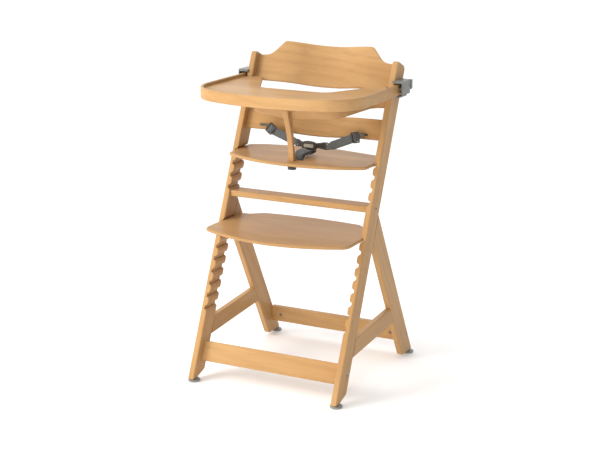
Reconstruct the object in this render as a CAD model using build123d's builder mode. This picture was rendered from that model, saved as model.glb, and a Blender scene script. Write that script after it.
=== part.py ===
"""Wooden grow-along high chair: two side frames, bent-ply backrests, grooved-in seat and
footrest, a guard rail with a crotch post, a tray that slides into two plastic clamps, and a
three-point harness.

Frame: millimetres, +X to the right seen from the front, +Y to the back, +Z up.  The origin is
on the floor under the middle of the chair's outer box.  Distances named ..._BACK are measured
backwards from FRONT_Y.
"""
from build123d import *
import math
import os

os.makedirs("parts", exist_ok=True)

# ---- driving dimensions ------------------------------------------------------------------
FRONT_Y = -271.475         # where the plane of the front legs' front faces meets the floor
LEAN = 23.44              # the front legs lean back by this angle, in degrees
LEG_DEPTH = 55.2          # front leg, square to its front face
LEG_T = 18.0              # thickness of the side frames
OUTER_HALF = 229.5        # centre plane to the outer face of a side frame
INNER_HALF = OUTER_HALF - LEG_T
FRAME_MID = OUTER_HALF - LEG_T / 2
LEG_TOP_Z = 887.0         # top front corner of a front leg
LEG_BOTTOM_Z = 9.0        # the wood stops here and the glide fills the rest
LEG_ROUND = 3.6           # rounding along the legs' edges

REAR_BACK = 535.6         # back face line of the rear legs at floor level
REAR_SLOPE = 0.559        # how far that line comes forward for each millimetre up
REAR_DEPTH = 61.6

GROOVE_DEPTH = 9.0        # seat and footrest grooves in the legs' inner faces
GROOVE_HALF = 4.8         # half the height of a groove
LAND_DROP, LAND_RISE = 6.5, 10.3    # how deep and how high the rounding of each land reaches
GROOVE_PITCH = 32.35
SEAT_Z = 615.2            # middle of the seat plate, in the top groove of its four
SEAT_GROOVES = 4
FOOTREST_Z = 424.0        # middle of the footrest plate, in the top groove of its eight
FOOTREST_GROOVES = 8
PLATE_T = 9.0
PLATE_ROUND = 4.2         # rounding of the plates' front edges
PLATE_HALF = INNER_HALF + GROOVE_DEPTH - 0.6

BOARD_T = 10.0            # bent backrest boards
BOARD_BEHIND = 22.0       # board ends sit this far behind the legs' front faces
DISH_HALF = 111.3         # the board starts to bow back this far from the middle
DISH_APEX = 41.4          # height of the bow's straight-sided triangle
DISH_RADIUS = 210.0
BOARD_HOUSED = 4.0        # board ends are let into the posts by this much

TRAY_BOTTOM = 793.0
TRAY_TOP = 825.0
TRAY_PLATE_TOP = 816.0
TRAY_PLATE_T = 9.0
TRAY_FRONT_BACK = 10.0
TRAY_HALF = 242.0
TRAY_FRONT_R = 500.0
TRAY_CORNER_R = 115.0
RIM_T = 8.5
RIM_END_BACK = 398.0

RAIL_T = 10.0             # guard rail under the tray
RAIL_HEIGHT = 42.0
RAIL_END_HEIGHT = 26.0    # the rail's upper edge curves down towards the posts
RAIL_BOTTOM_Z = 739.2     # at the front
RAIL_FRONT_BACK = 170.0   # where the two halves' straight lines would meet
RAIL_TILT = 4.6           # the rail's ends are higher than its front, in degrees

STRAP_W = 24.0            # harness webbing
STRAP_T = 1.6
STRAP_X = 155.0           # harness slots in the lower backrest
BOLT_R = 3.0
BOLT_HEAD_R = 5.5
BOLT_HEAD_T = 3.5
DOWEL_R = 4.0
DOWEL_LENGTH = 30.0
GLIDE_R = 17.0
GLIDE_DISC_T = 6.4
GLIDE_NECK_R = 8.0
GLIDE_PEG_R = 4.0
GLIDE_PEG = 16.0
GLIDE_BACK = {"front": 24.3, "rear": 521.0}

SIN, COS = math.sin(math.radians(LEAN)), math.cos(math.radians(LEAN))
REAR_STRETCH = math.hypot(1, REAR_SLOPE)
SIDES = {"left": -1, "right": 1}

# Plane of the legs' front faces: local x across, local y up the slope.
LEG_FACE = Plane(origin=(0, FRONT_Y, 0), x_dir=(1, 0, 0), z_dir=(0, -COS, SIN))
# Plane square to the slope: local x across, local y straight back into the leg.
ACROSS = Plane(origin=(0, FRONT_Y, 0), x_dir=(1, 0, 0), z_dir=(0, SIN, COS))
# The guard rail's lower edges lie in this plane: local y back, normal up along the post.
RAIL_SIN, RAIL_COS = math.sin(math.radians(RAIL_TILT)), math.cos(math.radians(RAIL_TILT))
RAIL_PLANE = Plane(origin=(0, FRONT_Y + RAIL_FRONT_BACK, RAIL_BOTTOM_Z), x_dir=(1, 0, 0),
                   z_dir=(0, -RAIL_SIN, RAIL_COS))


# ---- helpers -----------------------------------------------------------------------------
def on_leg(up, behind):
    """(y, z) of a point so far up the front legs' slope and so far behind their front faces."""
    return (FRONT_Y + SIN * up + COS * behind, COS * up - SIN * behind)


def front_line(z, behind=0.0):
    """(y, z) on a line parallel to the front legs' front faces, at a height."""
    return (FRONT_Y + z * SIN / COS + behind / COS, z)


def rear_line(z, ahead=0.0):
    """(y, z) on a line parallel to the rear legs' back faces, at a height."""
    return (FRONT_Y + REAR_BACK - REAR_SLOPE * z - ahead * REAR_STRETCH, z)


def on_rail(back, up):
    """(y, z) of a point in the guard rail's tilted frame."""
    return (FRONT_Y + RAIL_FRONT_BACK + back * RAIL_COS - up * RAIL_SIN,
            RAIL_BOTTOM_Z + back * RAIL_SIN + up * RAIL_COS)


def leg_junction(behind, ahead):
    """(y, z) where such a front line and such a rear line cross."""
    z = (REAR_BACK - ahead * REAR_STRETCH - behind / COS) / (SIN / COS + REAR_SLOPE)
    return front_line(z, behind)


def between(a, b, share):
    return (a[0] + (b[0] - a[0]) * share, a[1] + (b[1] - a[1]) * share)


def mirrored(points):
    """A half outline from its outer end to the middle, carried on to the other side."""
    return points + [(-x, y) for x, y in reversed(points) if x != 0]


def frame_plane(side):
    """YZ plane on the face of a side frame that looks to -X."""
    return Plane.YZ.offset(-OUTER_HALF if side == "left" else INNER_HALF)


def save(builder, name):
    builder.part.label = name
    export_step(builder.part, f"parts/{name}.step")


def rod(point, direction, radius, length, mode=Mode.ADD):
    """Round bar from a point along a direction."""
    with BuildSketch(Plane(origin=point, z_dir=direction)) as section:
        Circle(radius)
    extrude(section.sketch, amount=length, mode=mode)


def block(x_range, back_range, z_range, mode=Mode.ADD):
    """Box between two limits along each axis, y measured backwards from FRONT_Y."""
    x_low, x_high = sorted(x_range)
    middle = ((x_low + x_high) / 2, FRONT_Y + (back_range[0] + back_range[1]) / 2)
    with BuildSketch(Plane.XY.offset(z_range[0])) as section:
        with Locations(middle):
            Rectangle(x_high - x_low, back_range[1] - back_range[0])
    extrude(section.sketch, amount=z_range[1] - z_range[0], mode=mode)


# ---- where the fasteners go --------------------------------------------------------------
FRONT_BAR_UP, FRONT_BAR_BEHIND, FRONT_BAR_HEIGHT = 97.2, 28.0, 56.7
SEAT_BAR_BACK, SEAT_BAR_DEPTH, SEAT_BAR_Z, SEAT_BAR_T = 224.0, 48.0, 490.5, 17.5
REAR_BAR_BACK, REAR_BAR_Z, REAR_BAR_HEIGHT, REAR_BAR_TILT = 481.0, 44.0, 47.4, 7.2
BAR_T = 18.0
REAR_BAR_SIN = math.sin(math.radians(REAR_BAR_TILT))
REAR_BAR_COS = math.cos(math.radians(REAR_BAR_TILT))

# (y, z) of each crossbar's bolt line, and the direction in which its barrel nut is put in.
BAR_BOLTS = {
    "front": on_leg(FRONT_BAR_UP, FRONT_BAR_BEHIND + BAR_T / 2),
    "seat": (FRONT_Y + SEAT_BAR_BACK + SEAT_BAR_DEPTH / 2, SEAT_BAR_Z + SEAT_BAR_T / 2),
    "rear": (FRONT_Y + REAR_BAR_BACK + BAR_T / 2 * REAR_BAR_COS - REAR_BAR_HEIGHT / 2 * REAR_BAR_SIN,
             REAR_BAR_Z + BAR_T / 2 * REAR_BAR_SIN + REAR_BAR_HEIGHT / 2 * REAR_BAR_COS),
}
NUT_DIRECTIONS = {
    "front": (0, -COS, SIN),
    "seat": (0, 0, 1),
    "rear": (0, REAR_BAR_COS, REAR_BAR_SIN),
}
NUT_R = 5.0
NUT_LENGTH = 13.0
NUT_INSET = 30.0          # nut centre from the end of its bar
BOLT_LENGTH = LEG_T + NUT_INSET + NUT_R

LOWER_BOARD = (744.8, 803.3)
UPPER_BOARD = (887.5, 1008.2)
SHOULDER_UP = 962.3
# (y, z) of the steel pins that hold the boards' and the guard rail's ends in the posts.
PIN_POINTS = [
    on_leg((LOWER_BOARD[0] + LOWER_BOARD[1]) / 2, BOARD_BEHIND + BOARD_T / 2),
    on_leg((UPPER_BOARD[0] + SHOULDER_UP) / 2, BOARD_BEHIND + BOARD_T / 2),
    on_rail(205.5, 18),
]
BOARD_PIN_R = 2.5
BOARD_PIN_IN_POST = 12.0
BOARD_PIN_LENGTH = 22.0
CLAMP_SCREWS = [(FRONT_Y + 372, 801), (FRONT_Y + 392, 822)]
CLAMP_SCREW_LENGTH = 15.0
CLAMP_BASE_T = 2.9

# Side brace corners, and the dowels that hold the side frames together.
BRACE_FRONT = [front_line(112.8, LEG_DEPTH), front_line(162.2, LEG_DEPTH)]
BRACE_REAR = [rear_line(131.8, REAR_DEPTH), rear_line(178.8, REAR_DEPTH)]
JUNCTION = [leg_junction(LEG_DEPTH, REAR_DEPTH), leg_junction(LEG_DEPTH, 0)]
SQUARE_TO_FRONT = (0, COS, -SIN)
SQUARE_TO_REAR = (0, 1 / REAR_STRETCH, REAR_SLOPE / REAR_STRETCH)
DOWEL_ENDS = []
for low, high, square, shares in ((*BRACE_FRONT, SQUARE_TO_FRONT, (0.28, 0.72)),
                                  (*BRACE_REAR, SQUARE_TO_REAR, (0.28, 0.72)),
                                  (*JUNCTION, SQUARE_TO_FRONT, (0.45, 0.85))):
    for share in shares:
        DOWEL_ENDS.append((between(low, high, share), square))


def dowels(side, mode):
    """The side frame's dowels, centred on the faces that they cross."""
    for (y, z), (_, dy, dz) in DOWEL_ENDS:
        start = (SIDES[side] * FRAME_MID, y - dy * DOWEL_LENGTH / 2, z - dz * DOWEL_LENGTH / 2)
        rod(start, (0, dy, dz), DOWEL_R, DOWEL_LENGTH, mode)


def board_pins(side, mode):
    """Hidden pins between a post and the ends of the boards and the guard rail."""
    sign = SIDES[side]
    for y, z in PIN_POINTS:
        rod((sign * (INNER_HALF + BOARD_PIN_IN_POST), y, z), (-sign, 0, 0), BOARD_PIN_R,
            BOARD_PIN_LENGTH, mode)


def clamp_screws(side, mode):
    """Flush screws that hold a tray clamp to the post's outer face."""
    sign = SIDES[side]
    for y, z in CLAMP_SCREWS:
        start = (sign * (OUTER_HALF + CLAMP_BASE_T), y, z)
        rod(start, (-sign, 0, 0), 2, CLAMP_SCREW_LENGTH, mode)
        rod(start, (-sign, 0, 0), 3.6, 1.6, mode)


def bar_bolt(side, bar, mode):
    """A bolt from the outer face of a side frame into a crossbar, or the hole for it."""
    sign = SIDES[side]
    y, z = BAR_BOLTS[bar]
    rod((sign * OUTER_HALF, y, z), (-sign, 0, 0), BOLT_HEAD_R, BOLT_HEAD_T, mode)
    rod((sign * (OUTER_HALF - BOLT_HEAD_T), y, z), (-sign, 0, 0), BOLT_R,
        BOLT_LENGTH - BOLT_HEAD_T, mode)


def barrel_nut(side, bar, reach, mode):
    """Barrel nut across a bar, or its hole, which starts at the hidden face."""
    y, z = BAR_BOLTS[bar]
    _, dy, dz = NUT_DIRECTIONS[bar]
    start = (SIDES[side] * (INNER_HALF - NUT_INSET), y - dy * reach, z - dz * reach)
    rod(start, (0, dy, dz), NUT_R, reach + NUT_LENGTH / 2, mode)


def glide_peg(side, end, mode):
    rod((SIDES[side] * FRAME_MID, FRONT_Y + GLIDE_BACK[end], LEG_BOTTOM_Z), (0, 0, 1),
        GLIDE_PEG_R, GLIDE_PEG, mode)


# ---- side frames -------------------------------------------------------------------------
def cut_grooves(side, top_z, count):
    """Grooves that run straight through a leg's inner face, with rounded mouths."""
    sign = SIDES[side]
    mouth = sign * INNER_HALF
    radius = (LAND_DROP ** 2 + LAND_RISE ** 2) / (2 * LAND_DROP)
    half_turn = math.asin(LAND_RISE / radius) / 2
    bend = radius * (1 - math.cos(half_turn))
    fall = LAND_RISE - radius * math.sin(half_turn)
    lip = GROOVE_HALF + LAND_RISE
    with BuildSketch(Plane.XZ.offset(-FRONT_Y)) as grooves:
        for index in range(count):
            z = top_z - index * GROOVE_PITCH
            with BuildLine():
                Polyline((mouth, z - lip), (mouth - sign, z - lip), (mouth - sign, z + lip),
                         (mouth, z + lip))
                ThreePointArc((mouth, z + lip), (mouth + sign * bend, z + GROOVE_HALF + fall),
                              (mouth + sign * LAND_DROP, z + GROOVE_HALF))
                Polyline((mouth + sign * LAND_DROP, z + GROOVE_HALF),
                         (mouth + sign * GROOVE_DEPTH, z + GROOVE_HALF),
                         (mouth + sign * GROOVE_DEPTH, z - GROOVE_HALF),
                         (mouth + sign * LAND_DROP, z - GROOVE_HALF))
                ThreePointArc((mouth + sign * LAND_DROP, z - GROOVE_HALF),
                              (mouth + sign * bend, z - GROOVE_HALF - fall), (mouth, z - lip))
            make_face()
    extrude(grooves.sketch, amount=-450, mode=Mode.SUBTRACT)


def board_housings(side):
    """Pockets in a post for the ends of the two backrest boards."""
    middle = SIDES[side] * (INNER_HALF + BOARD_HOUSED / 2)
    for low, high in (LOWER_BOARD, (UPPER_BOARD[0], SHOULDER_UP)):
        with BuildSketch(ACROSS.offset(low)) as pocket:
            with Locations((middle, BOARD_BEHIND + BOARD_T / 2)):
                Rectangle(BOARD_HOUSED, BOARD_T)
        extrude(pocket.sketch, amount=high - low, mode=Mode.SUBTRACT)


TOP_UP = LEG_TOP_Z / COS
LEG_BOTTOM_DEPTH = 22.0
for side in SIDES:
    with BuildPart() as front_leg:
        with BuildSketch(frame_plane(side)):
            with BuildLine():
                FilletPolyline(
                    front_line(LEG_BOTTOM_Z), front_line(LEG_BOTTOM_Z, LEG_BOTTOM_DEPTH),
                    front_line(22, LEG_DEPTH), on_leg(TOP_UP, LEG_DEPTH), on_leg(TOP_UP, 0),
                    radius=[2, 24, 12, 13, 9], close=True)
            make_face()
        extrude(amount=LEG_T)
        fillet(front_leg.faces().sort_by(Axis.X)[0].edges(), LEG_ROUND)
        fillet(front_leg.faces().sort_by(Axis.X)[-1].edges(), LEG_ROUND)
        cut_grooves(side, SEAT_Z, SEAT_GROOVES)
        cut_grooves(side, FOOTREST_Z, FOOTREST_GROOVES)
        board_housings(side)
        dowels(side, Mode.SUBTRACT)
        bar_bolt(side, "front", Mode.SUBTRACT)
        bar_bolt(side, "seat", Mode.SUBTRACT)
        board_pins(side, Mode.SUBTRACT)
        clamp_screws(side, Mode.SUBTRACT)
        glide_peg(side, "front", Mode.SUBTRACT)
    save(front_leg, f"{side}_front_leg")

    with BuildPart() as rear_leg:
        with BuildSketch(frame_plane(side)):
            with BuildLine():
                FilletPolyline(rear_line(LEG_BOTTOM_Z, REAR_DEPTH), rear_line(LEG_BOTTOM_Z),
                               JUNCTION[1], JUNCTION[0], radius=[14, 6, 0, 0], close=True)
            make_face()
        extrude(amount=LEG_T)
        for face in (rear_leg.faces().sort_by(Axis.X)[0], rear_leg.faces().sort_by(Axis.X)[-1]):
            butt = face.edges().filter_by(
                lambda edge: abs(edge.tangent_at(0).dot(Vector(0, SIN, COS))) > 0.999)
            fillet([edge for edge in face.edges() if edge not in butt], LEG_ROUND)
        dowels(side, Mode.SUBTRACT)
        bar_bolt(side, "rear", Mode.SUBTRACT)
        glide_peg(side, "rear", Mode.SUBTRACT)
    save(rear_leg, f"{side}_rear_leg")

    with BuildPart() as side_brace:
        with BuildSketch(frame_plane(side)):
            with BuildLine():
                Polyline(BRACE_FRONT[0], BRACE_REAR[0], BRACE_REAR[1], BRACE_FRONT[1], close=True)
            make_face()
        extrude(amount=LEG_T)
        long_edges = side_brace.edges().filter_by(
            lambda edge: edge.length > 150 and abs(edge.tangent_at(0).X) < 0.1)
        fillet(long_edges, LEG_ROUND)
        dowels(side, Mode.SUBTRACT)
    save(side_brace, f"{side}_side_brace")

with BuildPart() as frame_dowels:
    for side in SIDES:
        dowels(side, Mode.ADD)
save(frame_dowels, "frame_dowels")


# ---- crossbars ---------------------------------------------------------------------------
def finish_bar(builder, bar):
    """Round a bar's four long edges and bore it for its bolts and barrel nuts."""
    fillet(builder.edges().filter_by(Axis.X), 3)
    for side in SIDES:
        bar_bolt(side, bar, Mode.SUBTRACT)
        barrel_nut(side, bar, 40, Mode.SUBTRACT)


with BuildPart() as front_crossbar:
    with BuildSketch(LEG_FACE.offset(-FRONT_BAR_BEHIND)):
        with Locations((0, FRONT_BAR_UP)):
            Rectangle(2 * INNER_HALF, FRONT_BAR_HEIGHT)
    extrude(amount=-BAR_T)
    finish_bar(front_crossbar, "front")
save(front_crossbar, "front_crossbar")

with BuildPart() as seat_crossbar:
    block((-INNER_HALF, INNER_HALF), (SEAT_BAR_BACK, SEAT_BAR_BACK + SEAT_BAR_DEPTH),
          (SEAT_BAR_Z, SEAT_BAR_Z + SEAT_BAR_T))
    finish_bar(seat_crossbar, "seat")
save(seat_crossbar, "seat_crossbar")

REAR_BAR_PLANE = Plane(origin=(0, FRONT_Y + REAR_BAR_BACK, REAR_BAR_Z), x_dir=(1, 0, 0),
                       z_dir=(0, -REAR_BAR_COS, -REAR_BAR_SIN))
with BuildPart() as rear_crossbar:
    with BuildSketch(REAR_BAR_PLANE):
        with Locations((0, REAR_BAR_HEIGHT / 2)):
            Rectangle(2 * INNER_HALF, REAR_BAR_HEIGHT)
    extrude(amount=-BAR_T)
    finish_bar(rear_crossbar, "rear")
save(rear_crossbar, "rear_crossbar")

with BuildPart() as crossbar_bolts:
    for side in SIDES:
        for bar in BAR_BOLTS:
            bar_bolt(side, bar, Mode.ADD)
            y, z = BAR_BOLTS[bar]
            socket = (SIDES[side] * OUTER_HALF, y, z)
            rod(socket, (-SIDES[side], 0, 0), 2.4, 2.4, Mode.SUBTRACT)
save(crossbar_bolts, "crossbar_bolts")

with BuildPart() as barrel_nuts:
    for side in SIDES:
        for bar in BAR_BOLTS:
            barrel_nut(side, bar, NUT_LENGTH / 2, Mode.ADD)
            bar_bolt(side, bar, Mode.SUBTRACT)
save(barrel_nuts, "barrel_nuts")

with BuildPart() as board_pin_set:
    for side in SIDES:
        board_pins(side, Mode.ADD)
save(board_pin_set, "board_pins")


# ---- backrest boards ---------------------------------------------------------------------
def bent_board(low, high, half):
    """Bent-ply board between two heights up the slope, with flat ends."""
    with BuildSketch(ACROSS.offset(low)) as section:
        with BuildLine():
            FilletPolyline((-half, BOARD_BEHIND), (-DISH_HALF, BOARD_BEHIND),
                           (0, BOARD_BEHIND + DISH_APEX), (DISH_HALF, BOARD_BEHIND),
                           (half, BOARD_BEHIND), radius=DISH_RADIUS)
            offset(amount=BOARD_T, side=Side.LEFT)
        make_face()
    extrude(section.sketch, amount=high - low)


BOARD_HALF = INNER_HALF + BOARD_HOUSED
with BuildPart() as lower_backrest:
    bent_board(*LOWER_BOARD, BOARD_HALF)
    long_rims = lower_backrest.edges().filter_by(
        lambda edge: abs(edge.tangent_at(0.5).Z) < 0.35 and edge.length > BOARD_T + 1)
    fillet(long_rims, 3)
    with BuildSketch(LEG_FACE):
        with Locations((-STRAP_X, LOWER_BOARD[0] + 12), (STRAP_X, LOWER_BOARD[0] + 12)):
            SlotOverall(STRAP_W + 4, 6)
    extrude(amount=-80, mode=Mode.SUBTRACT)
    board_pins("left", Mode.SUBTRACT)
    board_pins("right", Mode.SUBTRACT)
save(lower_backrest, "lower_backrest")

CROWN = [(BOARD_HALF, SHOULDER_UP), (204.0, SHOULDER_UP), (175.0, SHOULDER_UP + 3),
         (137.0, UPPER_BOARD[1])]
with BuildPart() as upper_backrest:
    bent_board(*UPPER_BOARD, BOARD_HALF)
    with BuildSketch(LEG_FACE):
        with BuildLine():
            FilletPolyline(*mirrored(CROWN), (-BOARD_HALF, UPPER_BOARD[0]),
                           (BOARD_HALF, UPPER_BOARD[0]),
                           radius=[0, 12, 42, 12, 12, 42, 12, 0, 0, 0], close=True)
        make_face()
    extrude(amount=-120, mode=Mode.INTERSECT)
    rims = upper_backrest.edges().filter_by(
        lambda edge: edge.length > BOARD_T + 1 and abs(edge.center().X) < BOARD_HALF - 1)
    fillet(rims, 3)
    board_pins("left", Mode.SUBTRACT)
    board_pins("right", Mode.SUBTRACT)
save(upper_backrest, "upper_backrest")


# ---- seat and footrest -------------------------------------------------------------------
SEAT_BOTTOM = SEAT_Z - GROOVE_HALF
SEAT_TOP = SEAT_BOTTOM + PLATE_T
STRAP_SLOT_BACK = 216.0
CROTCH_X = 8.0            # the crotch strap comes up beside the middle
POST_BOLT_BACK = 193.0
with BuildPart() as seat_plate:
    with BuildSketch(Plane(origin=(0, FRONT_Y, SEAT_BOTTOM))):
        with BuildLine():
            ThreePointArc((-190, 202), (0, 156), (190, 202))
            FilletPolyline((190, 202), (213, 214), (213, 268), (PLATE_HALF, 268),
                           (PLATE_HALF, 350), (172, 374), (0, 410), (-172, 374),
                           (-PLATE_HALF, 350), (-PLATE_HALF, 268), (-213, 268), (-213, 214),
                           (-190, 202), radius=[22, 2, 3, 8, 60, 250, 60, 8, 3, 2, 22])
        make_face()
        with Locations((CROTCH_X, STRAP_SLOT_BACK)):
            SlotOverall(34, 7, mode=Mode.SUBTRACT)
        with Locations((0, POST_BOLT_BACK)):
            Circle(4, mode=Mode.SUBTRACT)
    extrude(amount=PLATE_T)
    fillet(seat_plate.edges().filter_by(lambda edge: edge.length > 30 and abs(
        edge.center().Z - SEAT_BOTTOM - PLATE_T / 2) > 4
        and edge.center().Y < FRONT_Y + 205), PLATE_ROUND)
save(seat_plate, "seat_plate")

FOOTREST_BOTTOM = FOOTREST_Z - GROOVE_HALF + 0.3
TONGUE_END = 240.0        # the footrest's tongues end here, ahead of the rear legs
WAIST_HALF = 209.0
with BuildPart() as footrest_plate:
    with BuildSketch(Plane(origin=(0, FRONT_Y, FOOTREST_BOTTOM))):
        with BuildLine():
            ThreePointArc((-160, 60.5), (0, 28), (160, 60.5))
            FilletPolyline((160, 60.5), (PLATE_HALF, 88), (PLATE_HALF, TONGUE_END),
                           (WAIST_HALF, TONGUE_END), (WAIST_HALF, 290), (186, 290),
                           (150, 319), (90, 326), (0, 331), (-90, 326), (-150, 319),
                           (-186, 290), (-WAIST_HALF, 290), (-WAIST_HALF, TONGUE_END),
                           (-PLATE_HALF, TONGUE_END), (-PLATE_HALF, 88), (-160, 60.5),
                           radius=[34, 3, 3, 8, 12, 20, 60, 200, 60, 20, 12, 8, 3, 3, 34])
        make_face()
    extrude(amount=PLATE_T)
    fillet(footrest_plate.edges().filter_by(lambda edge: edge.length > 30 and abs(
        edge.center().Z - FOOTREST_BOTTOM - PLATE_T / 2) > 4
        and edge.center().Y < FRONT_Y + 75), PLATE_ROUND)
save(footrest_plate, "footrest_plate")


# ---- guard rail and crotch post ----------------------------------------------------------
RAIL_PATH = mirrored([(223.5, 206.7), (166.7, 183.4), (128.8, 37.0), (0, 0)])
with BuildPart() as guard_rail:
    with BuildSketch(RAIL_PLANE):
        with BuildLine():
            FilletPolyline(*RAIL_PATH, radius=[25, 45, 80, 45, 25])
            offset(amount=RAIL_T, side=Side.RIGHT)
        make_face()
    extrude(amount=RAIL_HEIGHT)
    with BuildSketch(Plane.YZ) as above:
        with BuildLine():
            TangentArc(on_rail(60, RAIL_HEIGHT), on_rail(212, RAIL_END_HEIGHT),
                       tangent=(RAIL_COS, RAIL_SIN))
            Polyline(on_rail(212, RAIL_END_HEIGHT), on_rail(212, 60), on_rail(60, 60),
                     on_rail(60, RAIL_HEIGHT))
        make_face()
    extrude(above.sketch, amount=OUTER_HALF, both=True, mode=Mode.SUBTRACT)
    block((-INNER_HALF, INNER_HALF), (150, 420), (700, 850), Mode.INTERSECT)
    fillet(guard_rail.edges().filter_by(
        lambda edge: edge.length > RAIL_T + 2 and abs(edge.tangent_at(0.5).Z) < 0.4), 3)
    board_pins("left", Mode.SUBTRACT)
    board_pins("right", Mode.SUBTRACT)
save(guard_rail, "guard_rail")

POST_HALF = 8.0
POST_FRONT = [(185.5, SEAT_TOP), (183.5, 650), (177, 684), (169, 709), (146, 769)]
POST_BACK = [(177, 769), (181, 741), (183.5, 712), (188.5, 690), (193, 655), (204.5, SEAT_TOP)]
POST_LINE = [(163, 762), (164.5, 752), (170.4, 740), (172.8, 727), (171.8, 718)]
with BuildPart() as crotch_post:
    with BuildSketch(Plane.YZ.offset(-POST_HALF)):
        with BuildLine():
            outline = [(FRONT_Y + back, z) for back, z in POST_FRONT + POST_BACK]
            FilletPolyline(*outline, radius=[0, 80, 90, 60, 5, 5, 40, 60, 40, 60, 0],
                           close=True)
        make_face()
    extrude(amount=2 * POST_HALF)
    fillet(crotch_post.edges().filter_by(lambda edge: abs(edge.tangent_at(0.5).X) < 0.1
                                         and SEAT_TOP + 1 < edge.center().Z < 766
                                         and abs(edge.center().X) > POST_HALF - 0.5), 1.6)
    for x in (POST_HALF - 2.5, -POST_HALF - 1):
        with BuildSketch(Plane.YZ.offset(x)) as line:
            with BuildLine():
                Polyline(*[(FRONT_Y + back, z) for back, z in POST_LINE])
                offset(amount=1.8, side=Side.RIGHT)
            make_face()
        extrude(line.sketch, amount=3.5, mode=Mode.SUBTRACT)
    rod((0, FRONT_Y + POST_BOLT_BACK, SEAT_TOP), (0, 0, 1), 3, 26, Mode.SUBTRACT)
    add(guard_rail.part, mode=Mode.SUBTRACT)
    block((-20, 20), (177, 200), (740, 780), Mode.SUBTRACT)
save(crotch_post, "crotch_post")

with BuildPart() as crotch_post_knob:
    rod((0, FRONT_Y + POST_BOLT_BACK, SEAT_BOTTOM - 14), (0, 0, 1), 12, 6)
    rod((0, FRONT_Y + POST_BOLT_BACK, SEAT_BOTTOM - 8), (0, 0, 1), 8, 8)
    rod((0, FRONT_Y + POST_BOLT_BACK, SEAT_BOTTOM), (0, 0, 1), 4, PLATE_T)
    rod((0, FRONT_Y + POST_BOLT_BACK, SEAT_TOP), (0, 0, 1), 3, 26)
save(crotch_post_knob, "crotch_post_knob")


# ---- tray --------------------------------------------------------------------------------
def tray_outline(inset, back):
    """The tray's outer outline moved inwards and closed by a straight back edge."""
    front_r = TRAY_FRONT_R - inset
    corner_r = TRAY_CORNER_R - inset
    half = TRAY_HALF - inset
    centre_back = TRAY_FRONT_BACK + TRAY_FRONT_R
    corner_x = TRAY_HALF - TRAY_CORNER_R
    apart = TRAY_FRONT_R - TRAY_CORNER_R
    corner_back = centre_back - math.sqrt(apart ** 2 - corner_x ** 2)
    touch = (front_r * corner_x / apart,
             centre_back - front_r * (centre_back - corner_back) / apart)
    middle = math.atan2(corner_back - centre_back, corner_x) / 2
    bulge = (corner_x + corner_r * math.cos(middle), corner_back + corner_r * math.sin(middle))
    with BuildLine() as outline:
        ThreePointArc((-touch[0], touch[1]), (0, centre_back - front_r), touch)
        ThreePointArc(touch, bulge, (half, corner_back))
        Polyline((half, corner_back), (half, back), (-half, back), (-half, corner_back))
        ThreePointArc((-half, corner_back), (-bulge[0], bulge[1]), (-touch[0], touch[1]))
    return outline.wire()


BELLY = mirrored([(208, 420), (100.6, 196)])    # the cut-out for the child's body
ARM_HALF = INNER_HALF - 3
NOTCH_BACK = 346.0
ARM_END_BACK = 367.0
LATCH_Z = 812.0
LATCH_GROOVE = (364.5, 410.0)
with BuildPart() as tray_rim:
    with BuildSketch(Plane(origin=(0, FRONT_Y, TRAY_BOTTOM))):
        make_face(tray_outline(0, RIM_END_BACK))
        make_face(tray_outline(RIM_T, RIM_END_BACK + 20), mode=Mode.SUBTRACT)
    extrude(amount=TRAY_TOP - TRAY_BOTTOM)
    fillet(tray_rim.edges().filter_by(lambda edge: abs(edge.tangent_at(0.5).Z) < 0.1
                                      and edge.length > RIM_T + 2), 3)
    for side in SIDES:
        sign = SIDES[side]
        block((sign * (TRAY_HALF - 3), sign * (TRAY_HALF + 5)), LATCH_GROOVE,
              (LATCH_Z - 5, LATCH_Z + 5), Mode.SUBTRACT)
save(tray_rim, "tray_rim")

with BuildPart() as tray_plate:
    with BuildSketch(Plane(origin=(0, FRONT_Y, TRAY_PLATE_TOP - TRAY_PLATE_T))):
        make_face(tray_outline(RIM_T, ARM_END_BACK))
        with BuildLine():
            FilletPolyline(*BELLY, radius=[0, 34, 34, 0], close=True)
        make_face(mode=Mode.SUBTRACT)
        for sign in SIDES.values():
            with Locations((sign * (ARM_HALF + 20), NOTCH_BACK + 30)):
                Rectangle(40, 60, mode=Mode.SUBTRACT)
    extrude(amount=TRAY_PLATE_T)
    fillet(tray_plate.edges().filter_by(lambda edge: abs(edge.tangent_at(0.5).Z) < 0.1
           and edge.length > 12 and edge.center().Y > FRONT_Y + 180
           and abs(edge.center().X) < 205), 3)
save(tray_plate, "tray_plate")


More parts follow.
